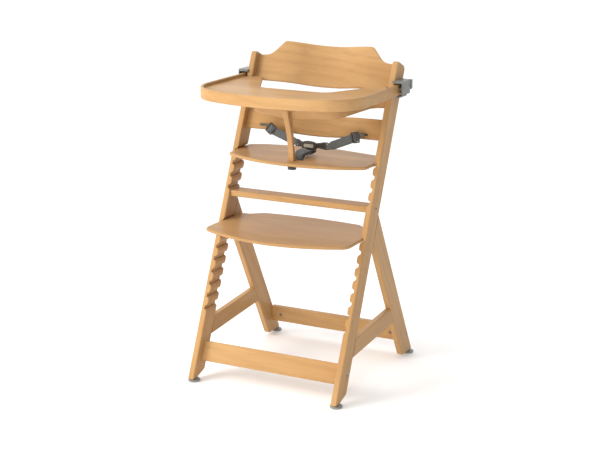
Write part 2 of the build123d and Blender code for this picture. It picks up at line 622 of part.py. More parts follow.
# ---- tray clamps -------------------------------------------------------------------------
CLAMP_FRONT, CLAMP_BACK = 353.0, 410.0
CLAMP_OUTER = 256.0
SKIN_INNER = 253.3
SKIN_BOTTOM = 797.0
LEDGE = (TRAY_BOTTOM - 4.5, TRAY_BOTTOM - 0.5)
POCKET_FLOOR = (SKIN_BOTTOM, SKIN_BOTTOM + 3)
FLANGE = (TRAY_TOP + 4, TRAY_TOP + 10)
PIN_X, PIN_BACK = 247.8, 385.0
PIN_R = 1.5
SPRING_HEIGHT = 5.5
LEVER_T = 3.0
LEVER_Z = (806.0, 818.0)
for side in SIDES:
    sign = SIDES[side]
    base = (sign * OUTER_HALF, sign * (OUTER_HALF + CLAMP_BASE_T))
    skin = (sign * SKIN_INNER, sign * CLAMP_OUTER)
    width = (sign * OUTER_HALF, sign * CLAMP_OUTER)
    pin_foot = (sign * PIN_X, FRONT_Y + PIN_BACK, SKIN_BOTTOM)
    pin_length = FLANGE[0] + 3 - SKIN_BOTTOM

    with BuildPart() as tray_clamp:
        block(base, (364, CLAMP_BACK), (LEDGE[0], FLANGE[1]))
        block(width, (CLAMP_FRONT, CLAMP_BACK), FLANGE)
        block((sign * 225, sign * OUTER_HALF), (CLAMP_FRONT, 359), FLANGE)
        block(skin, (CLAMP_FRONT, CLAMP_BACK), (SKIN_BOTTOM, FLANGE[1]))
        block((sign * OUTER_HALF, sign * (TRAY_HALF + 3)), (356, CLAMP_BACK), LEDGE)
        block((sign * (TRAY_HALF + 0.5), sign * CLAMP_OUTER), (376, CLAMP_BACK), POCKET_FLOOR)
        block(width, (CLAMP_BACK - 5, CLAMP_BACK), (SKIN_BOTTOM, FLANGE[1]))
        block((sign * OUTER_HALF, sign * (TRAY_HALF + 3)), (CLAMP_BACK - 5, CLAMP_BACK),
              (LEDGE[0], SKIN_BOTTOM))
        outer_corners = tray_clamp.edges().filter_by(Axis.Z).filter_by(
            lambda edge: abs(edge.center().X) > CLAMP_OUTER - 0.1)
        fillet(outer_corners, 2.4)
        block((sign * 240.5, sign * 252.5), (CLAMP_BACK - 8, CLAMP_BACK + 2),
              (LEVER_Z[0] - 1, LEVER_Z[1] + 1), Mode.SUBTRACT)
        block((sign * (SKIN_INNER - 1), sign * (CLAMP_OUTER + 1)), (356.8, 360.2), (811, 823),
              Mode.SUBTRACT)
        rod((sign * (SKIN_INNER - 1), FRONT_Y + 401.5, 820), (sign, 0, 0), 2.6, 5, Mode.SUBTRACT)
        rod(pin_foot, (0, 0, 1), PIN_R, pin_length, Mode.SUBTRACT)
        clamp_screws(side, Mode.SUBTRACT)
    save(tray_clamp, f"{side}_tray_clamp")

    with BuildPart() as lever_pin:
        rod(pin_foot, (0, 0, 1), PIN_R, pin_length)
    save(lever_pin, f"{side}_lever_pin")

    with BuildPart() as lever_spring:
        rod((sign * PIN_X, FRONT_Y + PIN_BACK, POCKET_FLOOR[1]), (0, 0, 1), 3.1, SPRING_HEIGHT)
        rod((sign * PIN_X, FRONT_Y + PIN_BACK, POCKET_FLOOR[1]), (0, 0, 1), PIN_R + 0.1,
            SPRING_HEIGHT, Mode.SUBTRACT)
    save(lever_spring, f"{side}_lever_spring")

    with BuildPart() as release_lever:
        arm = (sign * (PIN_X - LEVER_T / 2), sign * (PIN_X + LEVER_T / 2))
        block(arm, (366, 413.5), LEVER_Z)
        block((sign * 239.6, sign * PIN_X), (366, 371), (LATCH_Z - 4, LATCH_Z + 4))
        block((sign * 243, sign * CLAMP_OUTER), (412.5, 426), (LEVER_Z[0], 833))
        rod((sign * PIN_X, FRONT_Y + PIN_BACK, LEVER_Z[0]), (0, 0, 1), 4,
            LEVER_Z[1] - LEVER_Z[0])
        pad = release_lever.edges().filter_by(lambda edge: edge.center().Y > FRONT_Y + 412.6
                                              and edge.length > 6)
        fillet(pad, 2)
        rod((sign * PIN_X, FRONT_Y + PIN_BACK, LEVER_Z[0] - 1), (0, 0, 1), PIN_R + 0.1, 20,
            Mode.SUBTRACT)
    save(release_lever, f"{side}_release_lever")

with BuildPart() as clamp_screw_set:
    for side in SIDES:
        clamp_screws(side, Mode.ADD)
save(clamp_screw_set, "clamp_screws")


# ---- glides ------------------------------------------------------------------------------
for side in SIDES:
    for end in GLIDE_BACK:
        with BuildPart() as glide:
            foot = (SIDES[side] * FRAME_MID, FRONT_Y + GLIDE_BACK[end])
            rod((*foot, 0), (0, 0, 1), GLIDE_R, GLIDE_DISC_T)
            fillet(glide.edges(), 1.8)
            rod((*foot, GLIDE_DISC_T), (0, 0, 1), GLIDE_NECK_R, LEG_BOTTOM_Z - GLIDE_DISC_T)
            glide_peg(side, end, Mode.ADD)
        save(glide, f"{end}_{side}_glide")


# ---- harness -----------------------------------------------------------------------------
STRAP_BACK = 290.0        # the waist straps' front faces
SLOT_UP = LOWER_BOARD[0] + 12
SLOT_Y, SLOT_Z = on_leg(SLOT_UP, BOARD_BEHIND - 4)
BUCKLE_X, BUCKLE_Z = 7.0, 646.0
BUCKLE_HALF, BUCKLE_HEIGHT, BUCKLE_T = 24.0, 27.0, 12.0
BUTTON_SIZE = (30.0, 11.0)
WAIST = {                 # (x, z) along each strap's lower edge, from its adjuster to the buckle
    "left": [(-133, 681.3), (-115.7, 668.8), (-31.2, 637.7)],
    "right": [(159.6, 672.9), (142.5, 665.8), (60.4, 633.8)],
}
ADJUSTERS = {"left": (-116, 683.5, -37), "right": (143.5, 681, 18)}
ADJUSTER_SIZE = (24.0, 31.0)
TONGUES = {"left": (-37, BUCKLE_X - BUCKLE_HALF), "right": (BUCKLE_X + BUCKLE_HALF, 62)}


def front_of_straps(ahead):
    """XZ plane so far ahead of the waist straps' front faces; extrude by minus to go back."""
    return Plane.XZ.offset(-(FRONT_Y + STRAP_BACK - ahead))


waist_straps = {}
for side in SIDES:
    sign = SIDES[side]
    loop_x, loop_z, loop_turn = ADJUSTERS[side]
    with BuildPart() as waist_strap:
        with BuildSketch(front_of_straps(0)):
            with BuildLine():
                FilletPolyline(*WAIST[side], radius=60)
                offset(amount=STRAP_W, side=Side.LEFT if side == "left" else Side.RIGHT)
            make_face()
        extrude(amount=-STRAP_T)
        with BuildSketch(Plane.XY.offset(SLOT_Z - STRAP_T / 2)):
            with BuildLine():
                near = loop_x - sign * STRAP_W / 2
                far = loop_x + sign * STRAP_W / 2
                inner = sign * (STRAP_X - STRAP_W / 2)
                outer = sign * (STRAP_X + STRAP_W / 2)
                Polyline((near, FRONT_Y + STRAP_BACK), (far, FRONT_Y + STRAP_BACK),
                         (outer, SLOT_Y + 1.5), (inner, SLOT_Y + 1.5), close=True)
            make_face()
        extrude(amount=STRAP_T)
        with BuildSketch(ACROSS.offset(SLOT_UP - STRAP_T / 2)):
            with Locations((sign * STRAP_X, BOARD_BEHIND + 7)):
                Rectangle(STRAP_W, 22)
        extrude(amount=STRAP_T)
        with BuildSketch(ACROSS.offset(SLOT_UP - 4)):
            with Locations((sign * STRAP_X, BOARD_BEHIND + BOARD_T + 6)):
                Rectangle(STRAP_W, 6)
        extrude(amount=8)
    waist_straps[side] = waist_strap
    save(waist_strap, f"{side}_waist_strap")

    with BuildPart() as strap_adjuster:
        with BuildSketch(front_of_straps(3)):
            with Locations(Location((loop_x, loop_z, 0), (0, 0, loop_turn))):
                RectangleRounded(*ADJUSTER_SIZE, 4)
        extrude(amount=-(6 + STRAP_T))
        with BuildSketch(front_of_straps(3)):
            with Locations(Location((loop_x, loop_z, 0), (0, 0, loop_turn))):
                with Locations((-4.6, 0), (4.6, 0)):
                    RectangleRounded(6, 23, 1.5)
        extrude(amount=-3, mode=Mode.SUBTRACT)
        add(waist_strap.part, mode=Mode.SUBTRACT)
    save(strap_adjuster, f"{side}_strap_adjuster")

with BuildPart() as buckle_body:
    with BuildSketch(front_of_straps(5)):
        with Locations((BUCKLE_X, BUCKLE_Z)):
            RectangleRounded(2 * BUCKLE_HALF, BUCKLE_HEIGHT, 7)
    extrude(amount=-BUCKLE_T)
    fillet(buckle_body.faces().sort_by(Axis.Y)[0].edges(), 2.5)
    with BuildSketch(front_of_straps(6)):
        with Locations((BUCKLE_X - 2, BUCKLE_Z)):
            RectangleRounded(*BUTTON_SIZE, 3)
    extrude(amount=-6, mode=Mode.SUBTRACT)
save(buckle_body, "buckle_body")

with BuildPart() as buckle_button:
    with BuildSketch(front_of_straps(6.5)):
        with Locations((BUCKLE_X - 2, BUCKLE_Z)):
            RectangleRounded(BUTTON_SIZE[0] - 0.8, BUTTON_SIZE[1] - 0.8, 2.6)
    extrude(amount=-4)
    fillet(buckle_button.faces().sort_by(Axis.Y)[0].edges(), 0.8)
save(buckle_button, "buckle_button")

for side in SIDES:
    near, far = TONGUES[side]
    with BuildPart() as buckle_tongue:
        with BuildSketch(front_of_straps(3)):
            with Locations(((near + far) / 2, BUCKLE_Z + 3)):
                Rectangle(far - near, 25)
        extrude(amount=-(6 + STRAP_T))
        add(waist_straps[side].part, mode=Mode.SUBTRACT)
    save(buckle_tongue, f"{side}_buckle_tongue")

# The crotch strap comes up through the seat, arches back and hooks under the buckle.
CROTCH_STRAP = [(0, SEAT_BOTTOM - 8), (0, 640), (50, 640), (75, 629), (75, 645)]
with BuildPart() as crotch_strap:
    with BuildSketch(Plane.YZ.offset(CROTCH_X - STRAP_W / 2)) as band:
        with BuildLine():
            FilletPolyline(*[(FRONT_Y + STRAP_SLOT_BACK + back, z) for back, z in CROTCH_STRAP],
                           radius=[12, 15, 4])
            offset(amount=STRAP_T, side=Side.RIGHT)
        make_face()
    extrude(band.sketch, amount=STRAP_W)
    block((CROTCH_X - STRAP_W / 2, CROTCH_X + STRAP_W / 2),
          (STRAP_SLOT_BACK - 6, STRAP_SLOT_BACK + 6), (SEAT_BOTTOM - 8, SEAT_BOTTOM - 1))
    add(buckle_body.part, mode=Mode.SUBTRACT)
save(crotch_strap, "crotch_strap")
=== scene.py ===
"""Looks of the wooden high chair: varnished beech, woven webbing, moulded plastic and plated
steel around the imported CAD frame.  Metres, +Z up, the chair's front towards -Y."""
import math

import bmesh
import bpy
from mathutils import Matrix, Vector


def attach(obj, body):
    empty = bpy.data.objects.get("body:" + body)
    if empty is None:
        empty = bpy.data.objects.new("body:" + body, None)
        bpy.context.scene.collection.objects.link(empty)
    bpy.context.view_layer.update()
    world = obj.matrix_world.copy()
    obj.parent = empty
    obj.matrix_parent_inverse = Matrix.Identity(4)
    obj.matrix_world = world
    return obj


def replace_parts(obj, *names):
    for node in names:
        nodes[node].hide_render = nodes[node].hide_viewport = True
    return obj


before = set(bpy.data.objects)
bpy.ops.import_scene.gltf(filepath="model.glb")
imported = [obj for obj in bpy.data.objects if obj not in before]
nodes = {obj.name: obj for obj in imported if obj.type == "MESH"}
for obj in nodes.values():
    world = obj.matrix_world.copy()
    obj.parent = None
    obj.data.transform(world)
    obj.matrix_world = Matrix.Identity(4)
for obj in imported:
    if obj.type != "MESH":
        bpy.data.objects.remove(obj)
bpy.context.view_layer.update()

FRONT_Y = -0.271475            # where the plane of the front legs' front faces meets the floor
LEAN = math.radians(23.44)     # the front legs lean back by this angle


# ---- camera --------------------------------------------------------------------------------
AZIMUTH = math.radians(26.50)
ELEVATION = math.radians(13.81)
ROLL = math.radians(0.29)
CAMERA_PLACE = (1.7500, -3.2464 + FRONT_Y, 1.4422)
SENSOR_WIDTH, FOCAL_LENGTH = 36.0, 86.36       # millimetres
SHIFT_X, SHIFT_Y = -0.0055, -0.0323
view_back = Vector((math.sin(AZIMUTH) * math.cos(ELEVATION),
                    -math.cos(AZIMUTH) * math.cos(ELEVATION), math.sin(ELEVATION)))
level = Vector((math.cos(AZIMUTH), math.sin(AZIMUTH), 0))
upright = view_back.cross(level)
view_right = math.cos(ROLL) * level + math.sin(ROLL) * upright
view_up = -math.sin(ROLL) * level + math.cos(ROLL) * upright

camera_data = bpy.data.cameras.new("camera")
camera_data.sensor_width = SENSOR_WIDTH
camera_data.lens = FOCAL_LENGTH
camera_data.shift_x = SHIFT_X
camera_data.shift_y = SHIFT_Y
camera = bpy.data.objects.new("camera", camera_data)
bpy.context.scene.collection.objects.link(camera)
camera.matrix_world = (Matrix.Translation(CAMERA_PLACE)
                       @ Matrix((view_right, view_up, view_back)).transposed().to_4x4())
bpy.context.scene.camera = camera


# ---- light ---------------------------------------------------------------------------------
FLAG_DIRECTION = (0.98, -0.10, 0.15)           # a dark flag shades the studio from the right
FLAG_START, FLAG_FULL = 0.05, 0.75             # how far towards the flag its shade begins and ends
OPEN_STRENGTH, SHADED_STRENGTH = 1.35, 0.52
WARM_WHITE, WARMER_WHITE = (1.0, 0.96, 0.90), (1.0, 0.95, 0.88)


def area_light(name, place, target, size, watts, colour=(1, 1, 1), shine=True):
    data = bpy.data.lights.new(name, "AREA")
    data.shape = "RECTANGLE"
    data.size, data.size_y = size
    data.energy = watts
    data.color = colour
    light = bpy.data.objects.new(name, data)
    bpy.context.scene.collection.objects.link(light)
    light.location = place
    light.visible_glossy = shine
    light.rotation_euler = (Vector(target) - Vector(place)).to_track_quat("-Z", "Y").to_euler()


world = bpy.data.worlds.new("studio")
world.use_nodes = True
tree = world.node_tree
toward_flag = tree.nodes.new("ShaderNodeVectorMath")
toward_flag.operation = "DOT_PRODUCT"
toward_flag.inputs[1].default_value = FLAG_DIRECTION
tree.links.new(tree.nodes.new("ShaderNodeTexCoord").outputs["Generated"], toward_flag.inputs[0])
flag = tree.nodes.new("ShaderNodeMapRange")
flag.interpolation_type = "SMOOTHSTEP"
for socket, value in (("From Min", FLAG_START), ("From Max", FLAG_FULL),
                      ("To Min", OPEN_STRENGTH), ("To Max", SHADED_STRENGTH)):
    flag.inputs[socket].default_value = value
tree.links.new(toward_flag.outputs["Value"], flag.inputs["Value"])
tree.nodes["Background"].inputs["Color"].default_value = (1, 1, 1, 1)
tree.links.new(flag.outputs["Result"], tree.nodes["Background"].inputs["Strength"])
bpy.context.scene.world = world
bpy.context.scene.view_settings.view_transform = "Standard"

area_light("key", (-2.4, -2.6, 2.2), (0, 0, 0.5), (1.8, 1.8), 88, WARM_WHITE, shine=False)
area_light("front", (0.2, -3.4, 0.45), (0, 0, 0.6), (1.6, 1.0), 34, WARMER_WHITE, shine=False)
area_light("top", (-0.6, 0.4, 3.0), (0, 0, 0.5), (2.0, 2.0), 6)


# ---- node helpers --------------------------------------------------------------------------
def grey(level):
    return (level, level, level)


class Nodes:
    """Short way to build a material's node tree."""

    def __init__(self, name):
        self.material = bpy.data.materials.new(name)
        self.material.use_nodes = True
        self.tree = self.material.node_tree
        self.shader = self.tree.nodes["Principled BSDF"]

    def add(self, kind, inputs=None, **settings):
        node = self.tree.nodes.new(kind)
        for key, value in settings.items():
            setattr(node, key, value)
        for key, value in (inputs or {}).items():
            self.feed(node.inputs[key], value)
        return node

    def feed(self, socket, value):
        if isinstance(value, bpy.types.NodeSocket):
            self.tree.links.new(value, socket)
        else:
            socket.default_value = value

    def math(self, operation, a, b=0.0):
        return self.add("ShaderNodeMath", {0: a, 1: b}, operation=operation).outputs[0]

    def dot(self, vector, direction):
        return self.add("ShaderNodeVectorMath", {0: vector, 1: tuple(direction)},
                        operation="DOT_PRODUCT").outputs["Value"]

    def mix(self, share, a, b, blend="MIX"):
        node = self.add("ShaderNodeMix", data_type="RGBA", blend_type=blend)
        self.feed(node.inputs["Factor"], share)
        self.feed(node.inputs[6], a)
        self.feed(node.inputs[7], b)
        return node.outputs[2]

    def ramp(self, value, stops):
        node = self.add("ShaderNodeValToRGB", {"Fac": value})
        node.color_ramp.elements[0].position = stops[0][0]
        node.color_ramp.elements[0].color = (*stops[0][1], 1)
        node.color_ramp.elements[1].position = stops[-1][0]
        node.color_ramp.elements[1].color = (*stops[-1][1], 1)
        for place, colour in stops[1:-1]:
            node.color_ramp.elements.new(place).color = (*colour, 1)
        return node.outputs["Color"]

    def rise(self, value, low, high, most):
        """Share that rises from 0 to the most while the value goes from low to high."""
        return self.math("MULTIPLY", self.ramp(value, [(low, grey(0)), (high, grey(1))]), most)

    def noise(self, vector, scale, detail, roughness=0.5, distortion=0.0):
        node = self.add("ShaderNodeTexNoise", {
            "Vector": vector, "Scale": scale, "Detail": detail, "Roughness": roughness,
            "Distortion": distortion})
        return node.outputs["Fac"]

    def bump(self, height, strength, distance, normal=None):
        node = self.add("ShaderNodeBump", {
            "Height": height, "Strength": strength, "Distance": distance})
        if normal is not None:
            self.feed(node.inputs["Normal"], normal)
        return node.outputs["Normal"]


# ---- beech ---------------------------------------------------------------------------------
BEECH_LIGHT = (0.490, 0.286, 0.116)
BEECH_MID = (0.410, 0.222, 0.078)
BEECH_DARK = (0.265, 0.132, 0.044)
BEECH_PALE = (0.56, 0.360, 0.180)
FLECK = (0.20, 0.095, 0.035)
GLUE_LINE = (0.22, 0.11, 0.045)
RING_SHARE, STREAK_SHARE, FLECK_SHARE, PALE_SHARE, GLUE_SHARE = 0.18, 0.24, 0.55, 0.16, 0.30
WOOD_ROUGHNESS = 0.92          # of the bare wood; the varnish over it gives the shine
VARNISH_WEIGHT, VARNISH_ROUGHNESS = 0.40, 0.26
VENEER = 0.0015                # thickness of a plywood's layer


def beech(name, along, seed, tone=1.0, layers=None):
    """Varnished beech whose grain runs along a direction.  layers is the direction in which a
    plywood's veneers are stacked, which show on its edges."""
    n = Nodes(name)
    place = n.add("ShaderNodeTexCoord").outputs["Object"]
    along = Vector(along).normalized()
    side = along.orthogonal().normalized()
    third = along.cross(side)

    def coordinate(direction, factor, shift):
        return n.add("ShaderNodeMath", {0: n.dot(place, direction), 1: factor, 2: shift},
                     operation="MULTIPLY_ADD").outputs[0]

    def grain(stretch, shift):
        """Coordinates in metres, pressed together along the grain."""
        return n.add("ShaderNodeCombineXYZ", {
            "X": coordinate(along, stretch, shift + seed * 1.37),
            "Y": coordinate(side, 1.0, shift * 2.1 + seed * 0.71),
            "Z": coordinate(third, 1.0, shift * 0.7 + seed * 2.03)}).outputs[0]

    clouds = n.noise(grain(0.25, 3.1), 9.0, 2.0, 0.5, 0.3)
    streaks = n.noise(grain(0.03, 1.7), 90.0, 4.0, 0.6)
    fine = n.noise(grain(0.02, 5.3), 520.0, 3.0, 0.6)
    rings = n.add("ShaderNodeTexWave", {
        "Vector": grain(0.12, 0.9), "Scale": 16.0, "Distortion": 5.0, "Detail": 2.0,
        "Detail Scale": 1.4, "Detail Roughness": 0.5},
        bands_direction="DIAGONAL").outputs["Fac"]
    colour = n.mix(n.ramp(clouds, [(0.32, grey(0)), (0.68, grey(1))]),
                   (*BEECH_MID, 1), (*BEECH_LIGHT, 1))
    colour = n.mix(n.rise(rings, 0.55, 1.0, RING_SHARE), colour, (*BEECH_DARK, 1))
    colour = n.mix(n.rise(streaks, 0.48, 0.75, STREAK_SHARE), colour, (*BEECH_DARK, 1))
    flecks = n.add("ShaderNodeTexVoronoi", {
        "Vector": grain(0.16, 2.3), "Scale": 620.0}).outputs["Distance"]
    gate = n.ramp(n.noise(grain(0.3, 7.7), 150.0, 2.0), [(0.50, grey(0)), (0.60, grey(1))])
    fleck = n.math("MULTIPLY", n.ramp(flecks, [(0.10, grey(1)), (0.24, grey(0))]), gate)
    colour = n.mix(n.math("MULTIPLY", fleck, FLECK_SHARE), colour, (*FLECK, 1))
    colour = n.mix(n.rise(fine, 0.45, 0.7, PALE_SHARE), colour, (*BEECH_PALE, 1))
    if tone != 1.0:
        colour = n.mix(1.0, colour, (tone, tone, tone, 1), "MULTIPLY")
    if layers:
        turn = n.math("FRACT", n.math("MULTIPLY", n.dot(place, layers), 1.0 / (2 * VENEER)))
        ply = n.ramp(turn, [(0.0, grey(0)), (0.04, grey(1)), (0.46, grey(1)), (0.54, grey(0)),
                            (1.0, grey(0))])
        facing = n.dot(n.add("ShaderNodeNewGeometry").outputs["Normal"], layers)
        edge = n.math("SUBTRACT", 1.0, n.math("POWER", n.math("ABSOLUTE", facing), 2.0))
        share = n.math("MULTIPLY", n.math("MULTIPLY", ply, edge), GLUE_SHARE)
        colour = n.mix(share, colour, (*GLUE_LINE, 1))
    n.feed(n.shader.inputs["Base Color"], colour)
    n.feed(n.shader.inputs["Roughness"],
           n.math("ADD", n.math("MULTIPLY", clouds, 0.10), WOOD_ROUGHNESS))
    n.shader.inputs["Coat Weight"].default_value = VARNISH_WEIGHT
    n.shader.inputs["Coat Roughness"].default_value = VARNISH_ROUGHNESS
    pores = n.math("SUBTRACT", n.math("MULTIPLY", streaks, 0.5), n.math("MULTIPLY", fleck, 0.6))
    n.feed(n.shader.inputs["Normal"], n.bump(pores, 0.25, 0.0003))
    return n.material


def wear(node, material):
    data = nodes[node].data
    data.materials.clear()
    data.materials.append(material)


# Direction of the grain and tone of each piece.
up_slope = (0, math.sin(LEAN), math.cos(LEAN))
rear_slope = (0, -0.488, 0.873)
brace_slope = (0, 1, 0.067)
across_chair = (1, 0, 0)
pieces_of_beech = {
    "left_front_leg": (up_slope, 1.00), "right_front_leg": (up_slope, 1.00),
    "left_rear_leg": (rear_slope, 0.97), "right_rear_leg": (rear_slope, 0.98),
    "left_side_brace": (brace_slope, 0.98), "right_side_brace": (brace_slope, 1.0),
    "front_crossbar": (across_chair, 1.03), "rear_crossbar": (across_chair, 1.0),
    "seat_crossbar": (across_chair, 1.0), "crotch_post": ((0, -0.16, 1), 1.0),
    "frame_dowels": ((0, 1, 0), 1.0), "lower_backrest": (across_chair, 1.0),
    "upper_backrest": (across_chair, 1.0), "guard_rail": ((1, 0.001, 0), 1.0),
    "tray_rim": ((1, 0.002, 0), 1.0),
}
for seed, (node, (along, tone)) in enumerate(sorted(pieces_of_beech.items()), start=1):
    wear(node, beech(f"beech_{node}", along, seed, tone))
for seed, node in enumerate(("seat_plate", "footrest_plate", "tray_plate"), start=31):
    wear(node, beech(f"beech_{node}", across_chair, seed, layers=(0, 0, 1)))


# ---- plastics, steel and webbing -----------------------------------------------------------
MOTTLE = 0.12                  # how uneven a plastic's colour is
RIB_PITCH, YARN_PITCH = 0.0016, 0.0012         # of the webbing, along and across
ZIGZAG = 0.003                 # how far across the webbing its ribs run before they turn
SELVEDGE = (0.0098, 0.0104)    # distance from the webbing's middle at which its edge begins
SELVEDGE_SHARE, SOIL_SHARE = 0.35, 0.25


def moulded(name, colour, rough, grain=0.25):
    """Moulded plastic with a fine spark-eroded texture and slightly uneven colour."""
    n = Nodes(name)
    place = n.add("ShaderNodeTexCoord").outputs["Object"]
    cloud = n.noise(place, 60.0, 3.0, 0.6)
    dark = tuple(value * (1 - MOTTLE) for value in colour)
    light = tuple(value * (1 + MOTTLE) for value in colour)
    n.feed(n.shader.inputs["Base Color"],
           n.ramp(cloud, [(0.35, dark), (0.65, light)]))
    n.feed(n.shader.inputs["Roughness"],
           n.math("ADD", n.math("MULTIPLY", n.noise(place, 900.0, 2.0), 0.16), rough - 0.08))
    n.feed(n.shader.inputs["Normal"], n.bump(n.noise(place, 2600.0, 2.0, 0.6), grain, 0.00012))
    return n.material


def plated(name, colour, rough):
    """Zinc-plated steel with a fine bumpy surface and cloudy passivation."""
    n = Nodes(name)
    place = n.add("ShaderNodeTexCoord").outputs["Object"]
    cloud = n.noise(place, 260.0, 4.0, 0.6)
    n.feed(n.shader.inputs["Base Color"],
           n.ramp(cloud, [(0.3, tuple(value * 0.7 for value in colour)), (0.7, colour)]))
    n.shader.inputs["Metallic"].default_value = 0.85
    n.feed(n.shader.inputs["Roughness"], n.math("ADD", n.math("MULTIPLY", cloud, 0.2), rough))
    n.feed(n.shader.inputs["Normal"], n.bump(n.noise(place, 1800.0, 2.0), 0.2, 0.0001))
    return n.material


def woven(name, light, dark):
    """Ribbed polyester webbing.  The UV map runs along and across the strap, in metres."""
    n = Nodes(name)
    split = n.add("ShaderNodeSeparateXYZ", {0: n.add("ShaderNodeUVMap").outputs["UV"]})
    run, across = split.outputs["X"], split.outputs["Y"]

    def wave(value, pitch):
        turn = n.math("MULTIPLY", value, 2 * math.pi / pitch)
        return n.math("ADD", n.math("MULTIPLY", n.math("SINE", turn), 0.5), 0.5)

    twill = wave(n.math("ADD", run, n.math("PINGPONG", across, ZIGZAG)), RIB_PITCH)
    warp = wave(across, YARN_PITCH)
    edge = n.ramp(n.math("ABSOLUTE", across), [(0.0, grey(0)), (SELVEDGE[0], grey(0)),
                                               (SELVEDGE[1], grey(1)), (1.0, grey(1))])
    height = n.math("ADD", n.math("MULTIPLY", twill, 0.65), n.math("MULTIPLY", warp, 0.35))
    place = n.add("ShaderNodeTexCoord").outputs["Object"]
    fuzz = n.noise(place, 1400.0, 3.0, 0.6)
    soil = n.noise(place, 45.0, 3.0, 0.6)
    tone = n.math("ADD", n.math("MULTIPLY", height, 0.6), n.math("MULTIPLY", fuzz, 0.4))
    colour = n.mix(tone, (*dark, 1), (*light, 1))
    colour = n.mix(n.math("MULTIPLY", edge, SELVEDGE_SHARE), colour, (*dark, 1))
    colour = n.mix(n.rise(soil, 0.45, 0.75, SOIL_SHARE), colour, (*dark, 1))
    n.feed(n.shader.inputs["Base Color"], colour)
    n.shader.inputs["Roughness"].default_value = 0.78
    n.shader.inputs["Sheen Weight"].default_value = 0.25
    n.feed(n.shader.inputs["Normal"],
           n.bump(fuzz, 0.2, 0.0002, n.bump(height, 0.7, 0.0003)))
    return n.material


CLAMP_GREY = moulded("clamp_plastic", (0.178, 0.182, 0.170), 0.42)
LEVER_GREY = moulded("lever_plastic", (0.150, 0.155, 0.145), 0.38)
GLIDE_GREY = moulded("glide_plastic", (0.23, 0.225, 0.21), 0.40)
KNOB_DARK = moulded("knob_plastic", (0.045, 0.042, 0.038), 0.45)
BUCKLE_DARK = moulded("buckle_plastic", (0.048, 0.037, 0.030), 0.30, 0.20)
BUTTON_GREY = moulded("button_plastic", (0.36, 0.33, 0.27), 0.42)
STEEL = plated("zinc_steel", (0.30, 0.27, 0.23), 0.36)
SPRING_STEEL = plated("spring_steel", (0.34, 0.34, 0.33), 0.25)
WEBBING = woven("webbing", (0.165, 0.180, 0.178), (0.062, 0.069, 0.068))
THREAD = moulded("thread", (0.13, 0.13, 0.12), 0.8, 0.4)

for side in ("left", "right"):
    wear(f"{side}_tray_clamp", CLAMP_GREY)
    wear(f"{side}_release_lever", LEVER_GREY)
    wear(f"{side}_lever_pin", STEEL)
    for end in ("front", "rear"):
        wear(f"{end}_{side}_glide", GLIDE_GREY)
wear("crotch_post_knob", KNOB_DARK)
wear("buckle_button", BUTTON_GREY)
for node in ("crossbar_bolts", "barrel_nuts", "board_pins", "clamp_screws"):
    wear(node, STEEL)


# ---- mesh helpers --------------------------------------------------------------------------
ROUND_CREASE, PLATE_CREASE = 60, 35            # degrees
MERGE = 0.00002                # points of a plate closer than this become one
LINE_STEPS, CORNER_STEPS, LOBE_STEPS = 8, 5, 48
EDGE_ROUNDING = 0.3            # how far a ribbon's edge is rounded, as a share of its thickness


def at(x, behind, z):
    """Point in metres from millimetres, measured back from FRONT_Y."""
    return Vector((x / 1000, FRONT_Y + behind / 1000, z / 1000))


def in_board(x, up, behind):
    """Point so far up the front legs' slope and so far behind their front faces."""
    return at(x, math.sin(LEAN) * up + math.cos(LEAN) * behind,
              math.cos(LEAN) * up - math.sin(LEAN) * behind)


def piece(name, mesh, material, angle):
    """Object from a mesh, with edges sharper than the angle kept crisp."""
    mesh.materials.append(material)
    mesh.shade_smooth()
    mesh.set_sharp_from_angle(angle=math.radians(angle))
    made = bpy.data.objects.new(name, mesh)
    bpy.context.scene.collection.objects.link(made)
    return made


def smooth_line(rows):
    """Catmull-Rom line through rows of (point, side, share of the width)."""
    line = []
    for i in range(len(rows) - 1):
        around = [rows[max(0, i - 1)], rows[i], rows[i + 1], rows[min(len(rows) - 1, i + 2)]]
        for step in range(LINE_STEPS + (i == len(rows) - 2)):
            t = step / LINE_STEPS
            line.append([
                0.5 * ((2 * b) + (c - a) * t + (2 * a - 5 * b + 4 * c - d) * t ** 2
                       + (3 * b - a - 3 * c + d) * t ** 3)
                for a, b, c, d in zip(*around)])
    return line


